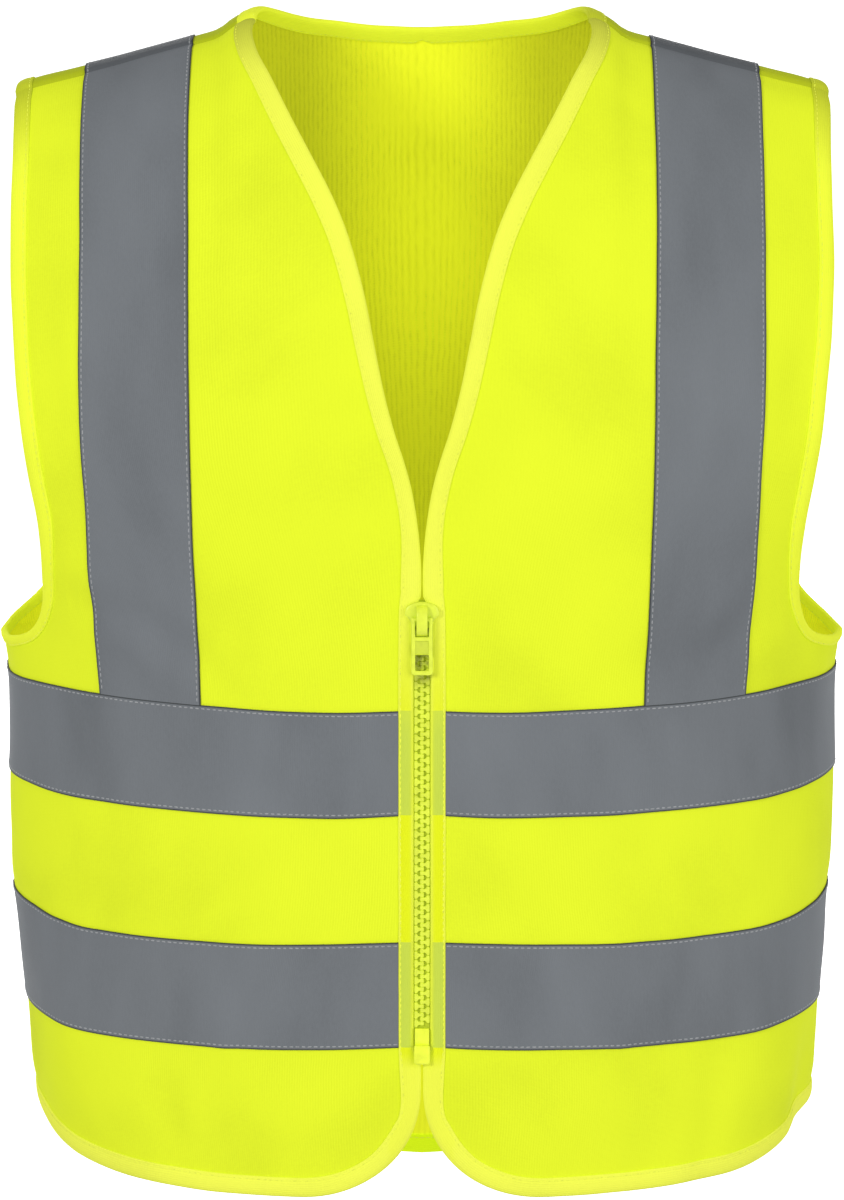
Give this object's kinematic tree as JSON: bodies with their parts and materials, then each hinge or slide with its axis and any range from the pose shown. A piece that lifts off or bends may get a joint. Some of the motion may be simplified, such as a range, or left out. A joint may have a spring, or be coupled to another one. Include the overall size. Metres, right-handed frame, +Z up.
{
  "type": "safety vest",
  "caption": "Sleeveless knit safety vest with reflective bands, V neck, bound edges and a front zip, held open in its worn shape.",
  "frame": {"origin": "between the two neck points, where the vest rests on the wearer's shoulders", "axes": "+Z up; the front and its zip face -Y; +X is the wearer's left"},
  "size_m": [0.429, 0.2506, 0.6172],
  "materials": {
    "knit": "thin fluorescent yellow-green polyester knit",
    "binding": "fluorescent yellow ribbed binding tape",
    "reflective_tape": "matte grey glass-bead reflective tape",
    "zip_tape": "woven zip tape",
    "zip_plastic": "lime moulded and enamelled zip parts"
  },
  "bodies": {
    "vest": {"panel_front_left": "knit", "binding_front_left": "binding", "binding_armhole_front_left": "binding", "tape_shoulder_front_left": "reflective_tape", "band_upper_front_left": "reflective_tape", "band_lower_front_left": "reflective_tape", "panel_front_right": "knit", "binding_front_right": "binding", "binding_armhole_front_right": "binding", "tape_shoulder_front_right": "reflective_tape", "band_upper_front_right": "reflective_tape", "band_lower_front_right": "reflective_tape", "panel_back": "knit", "binding_neck_back": "binding", "binding_hem_back": "binding", "binding_armhole_back_left": "binding", "binding_armhole_back_right": "binding", "tape_shoulder_back_left": "reflective_tape", "tape_shoulder_back_right": "reflective_tape", "band_upper_back": "reflective_tape", "band_lower_back": "reflective_tape", "zip_tape_left": "zip_tape", "zip_tape_right": "zip_tape", "zip_chain": "zip_plastic", "zip_slider": "zip_plastic", "zip_box": "zip_plastic"},
    "pull_tab": {"zip_pull_tab": "zip_plastic"}
  },
  "joints": [
    {"name": "pull_tab_swing", "type": "hinge", "parent": "vest", "child": "pull_tab", "pos_m": [0, -0.1328, -0.2882], "axis": [-1, 0, 0], "range_deg": [0, 170]}
  ]
}
